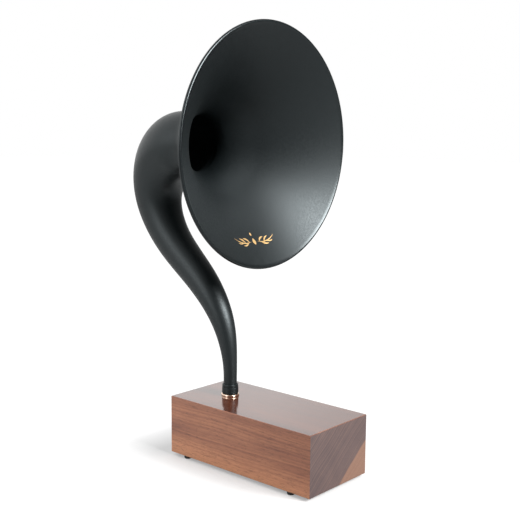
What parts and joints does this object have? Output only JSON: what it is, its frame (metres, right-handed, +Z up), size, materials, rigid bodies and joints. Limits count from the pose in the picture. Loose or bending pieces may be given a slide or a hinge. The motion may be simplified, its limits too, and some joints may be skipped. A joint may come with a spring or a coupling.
{
  "type": "wireless horn loudspeaker",
  "caption": "Gramophone-style wireless loudspeaker: black steel bell on a swan neck that swivels on a hollow walnut block with driver, amplifier and rear controls.",
  "frame": {"origin": "middle of the outer box, on the plane that the four feet stand on", "axes": "+Z up; the bell faces -Y and the control panel faces +Y; +X is to the right when looking along +Y from in front of the bell"},
  "size_m": [0.303, 0.3516, 0.5591],
  "materials": {
    "powder_coat": "satin black powder coat with a fine speckle",
    "walnut": "oiled walnut with a lacquered top",
    "rose_gold": "polished rose-gold plate",
    "rubber": "matt black",
    "zinc_steel": "bright zinc plate",
    "black_plastic": "fine matt texture",
    "clear_lens": "clear, polished",
    "nylon": "natural nylon",
    "paper_cone": "pressed paper",
    "spider_cloth": "resin-treated weave",
    "coil_copper": "enamelled copper wire",
    "ferrite": "sintered, matt",
    "circuit_board": "green solder mask",
    "battery_wrap": "shrink wrap",
    "bare_aluminium": "extruded",
    "lead_sleeve": "insulated wire"
  },
  "bodies": {
    "block": {"amplifier_board": "circuit_board", "aux_jack": "black_plastic", "battery_lead": "lead_sleeve", "battery_pack": "battery_wrap", "battery_strap": "zinc_steel", "board_post_1": "nylon", "board_post_2": "nylon", "board_post_3": "nylon", "board_post_4": "nylon", "bottom_plate": "zinc_steel", "bottom_screw_1": "zinc_steel", "bottom_screw_2": "zinc_steel", "bottom_screw_3": "zinc_steel", "bottom_screw_4": "zinc_steel", "centring_spider": "spider_cloth", "cone_surround": "rubber", "control_board": "circuit_board", "control_lead": "lead_sleeve", "copper_ring": "rose_gold", "driver_frame": "zinc_steel", "driver_gasket": "rubber", "driver_screw_1": "zinc_steel", "driver_screw_2": "zinc_steel", "driver_screw_3": "zinc_steel", "driver_screw_4": "zinc_steel", "heat_sink": "bare_aluminium", "motor_magnet": "ferrite", "motor_top_plate": "zinc_steel", "motor_yoke": "zinc_steel", "panel_screw_1": "zinc_steel", "panel_screw_2": "zinc_steel", "panel_screw_3": "zinc_steel", "panel_screw_4": "zinc_steel", "rear_panel": "black_plastic", "rubber_foot_1": "rubber", "rubber_foot_2": "rubber", "rubber_foot_3": "rubber", "rubber_foot_4": "rubber", "speaker_lead": "lead_sleeve", "spigot_lock_nut": "zinc_steel", "status_lens": "clear_lens", "throat_adapter": "black_plastic", "throat_gasket": "rubber", "throat_spigot": "zinc_steel", "usb_port": "zinc_steel", "volume_potentiometer": "black_plastic", "walnut_body": "walnut"},
    "horn": {"horn_bell": "powder_coat", "horn_neck": "powder_coat"},
    "nut_ring": {"thrust_ring": "nylon"},
    "coupling_nut": {"coupling_nut": "powder_coat"},
    "volume_knob": {"volume_knob": "black_plastic", "volume_shaft": "zinc_steel"},
    "power_button": {"power_button": "black_plastic"},
    "pairing_button": {"pairing_button": "black_plastic"},
    "cone": {"speaker_cone": "paper_cone", "dust_cap": "paper_cone", "voice_coil": "coil_copper"}
  },
  "joints": [
    {"name": "horn_swivel", "type": "hinge", "parent": "block", "child": "horn", "pos_m": [0, 0.00397, 0.09], "axis": [0, 0, 1], "continuous": true},
    {"name": "nut_rise", "type": "slide", "parent": "block", "child": "nut_ring", "axis": [0, 0, 1], "range_m": [0, 0.006]},
    {"name": "nut_turn", "type": "hinge", "parent": "nut_ring", "child": "coupling_nut", "pos_m": [0, 0.00397, 0.09], "axis": [0, 0, 1], "range_deg": [0, 1080]},
    {"name": "volume_turn", "type": "hinge", "parent": "block", "child": "volume_knob", "pos_m": [0.026, 0.05817, 0.04], "axis": [0, 1, 0], "range_deg": [-150, 150]},
    {"name": "power_press", "type": "slide", "parent": "block", "child": "power_button", "axis": [0, -1, 0], "range_m": [0, 0.001], "stiffness_N_per_m": 900},
    {"name": "pairing_press", "type": "slide", "parent": "block", "child": "pairing_button", "axis": [0, -1, 0], "range_m": [0, 0.001], "stiffness_N_per_m": 900},
    {"name": "cone_travel", "type": "slide", "parent": "block", "child": "cone", "axis": [0, 0, 1], "range_m": [-0.0015, 0.0015], "stiffness_N_per_m": 1500, "deforming": ["cone_surround", "centring_spider"]}
  ],
  "couplings": [
    {"joint": "nut_turn", "follows": "nut_rise", "rad_per_m": 3141.6}
  ]
}
